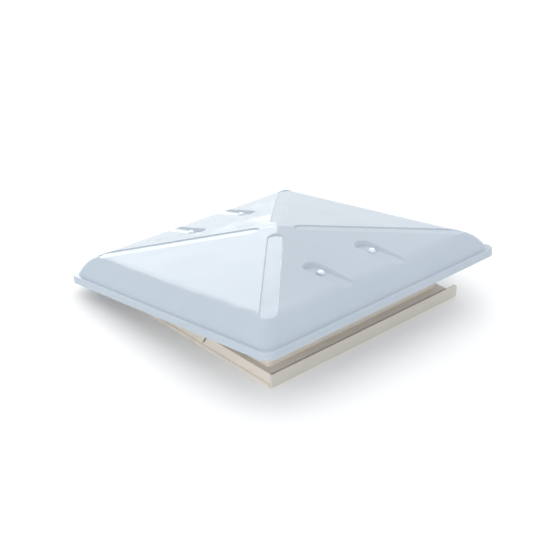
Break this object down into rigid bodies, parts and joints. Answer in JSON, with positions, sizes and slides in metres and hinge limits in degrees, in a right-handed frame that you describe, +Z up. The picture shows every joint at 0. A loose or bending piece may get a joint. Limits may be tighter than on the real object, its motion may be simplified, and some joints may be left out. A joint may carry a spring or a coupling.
{
  "type": "roof vent cover",
  "caption": "Square hinged roof vent cover: pyramid dome with cross grooves over a beige base frame, with stays, clamp knobs and insect screen.",
  "frame": {"origin": "middle of the roof opening, level with the underside of the base frame, at the centre of the roof screw holes", "axes": "+Z up out of the roof, +Y towards the hinge side, -Y towards the side that opens, +X to the right seen from the opening side"},
  "size_m": [0.51, 0.5069, 0.1296],
  "materials": {
    "dome_plastic": "gloss opal white formed sheet",
    "base_plastic": "satin beige moulding",
    "trim_plastic": "satin pale beige moulding",
    "seal_rubber": "matt black EPDM",
    "spline_rubber": "matt dark grey cord",
    "mesh_metal": "woven insect mesh, grey",
    "bracket_steel": "zinc plated pressed steel",
    "fastener_steel": "bright zinc plated",
    "dome_screw_finish": "satin white coated screw head",
    "bush_nylon": "natural nylon",
    "washer_rubber": "soft grey sealing washer",
    "rail_aluminium": "satin anodised",
    "knob_plastic": "textured black"
  },
  "bodies": {
    "base": {"base_frame": "base_plastic", "drip_rail": "base_plastic", "roof_seal": "seal_rubber", "screen_frame": "trim_plastic", "screen_mesh": "mesh_metal", "screen_spline": "spline_rubber", "button_rivets": "fastener_steel", "hinge_bracket_right": "bracket_steel", "hinge_bracket_left": "bracket_steel", "hinge_pin_right": "fastener_steel", "hinge_pin_left": "fastener_steel", "bracket_screws": "fastener_steel", "pivot_nuts": "fastener_steel", "stay_pivot_right": "fastener_steel", "pivot_clip_right": "fastener_steel", "stay_pivot_left": "fastener_steel", "pivot_clip_left": "fastener_steel"},
    "dome": {"dome_shell": "dome_plastic", "front_bar": "trim_plastic", "back_bar": "trim_plastic", "hinge_bush_right": "bush_nylon", "hinge_bush_left": "bush_nylon", "side_rail_right": "rail_aluminium", "side_rail_left": "rail_aluminium", "rail_screws": "fastener_steel", "dome_screws": "dome_screw_finish", "dome_washers": "washer_rubber", "dome_nuts": "fastener_steel", "pull_handle": "trim_plastic", "handle_screws": "fastener_steel"},
    "stay_right": {"stay_arm_right": "rail_aluminium", "tip_stud_right": "fastener_steel", "slide_washer_right": "bush_nylon"},
    "stay_left": {"stay_arm_left": "rail_aluminium", "tip_stud_left": "fastener_steel", "slide_washer_left": "bush_nylon"},
    "knob_right": {"clamp_washer_right": "fastener_steel", "clamp_knob_right": "knob_plastic"},
    "knob_left": {"clamp_washer_left": "fastener_steel", "clamp_knob_left": "knob_plastic"},
    "button_front": {"turn_button_front": "trim_plastic"},
    "button_back": {"turn_button_back": "trim_plastic"},
    "button_left": {"turn_button_left": "trim_plastic"},
    "button_right": {"turn_button_right": "trim_plastic"}
  },
  "joints": [
    {"name": "dome_hinge", "type": "hinge", "parent": "base", "child": "dome", "pos_m": [0, 0.17, 0.047], "axis": [-1, 0, 0], "range_deg": [-7.6, 12.4]},
    {"name": "stay_right_pivot", "type": "hinge", "parent": "base", "child": "stay_right", "pos_m": [0.1777, 0.01, 0.03], "axis": [-1, 0, 0], "range_deg": [-23.23, 37.87]},
    {"name": "stay_left_pivot", "type": "hinge", "parent": "base", "child": "stay_left", "pos_m": [-0.1777, 0.01, 0.03], "axis": [-1, 0, 0], "range_deg": [-23.23, 37.87]},
    {"name": "knob_right_turn", "type": "hinge", "parent": "stay_right", "child": "knob_right", "pos_m": [0.166, -0.06365, 0.09911], "axis": [-1, 0, 0], "range_deg": [0, 180]},
    {"name": "knob_left_turn", "type": "hinge", "parent": "stay_left", "child": "knob_left", "pos_m": [-0.166, -0.06365, 0.09911], "axis": [1, 0, 0], "range_deg": [0, 180]},
    {"name": "button_front_turn", "type": "hinge", "parent": "base", "child": "button_front", "pos_m": [0, -0.176, 0.0088], "axis": [0, 0, 1], "range_deg": [0, 90]},
    {"name": "button_back_turn", "type": "hinge", "parent": "base", "child": "button_back", "pos_m": [0, 0.176, 0.0088], "axis": [0, 0, 1], "range_deg": [0, 90]},
    {"name": "button_left_turn", "type": "hinge", "parent": "base", "child": "button_left", "pos_m": [-0.18, 0, 0.0088], "axis": [0, 0, 1], "range_deg": [0, 90]},
    {"name": "button_right_turn", "type": "hinge", "parent": "base", "child": "button_right", "pos_m": [0.18, 0, 0.0088], "axis": [0, 0, 1], "range_deg": [0, 90]}
  ],
  "couplings": [
    {"joint": "stay_right_pivot", "follows": "dome_hinge", "ratio": 3.05},
    {"joint": "stay_left_pivot", "follows": "dome_hinge", "ratio": 3.05}
  ]
}
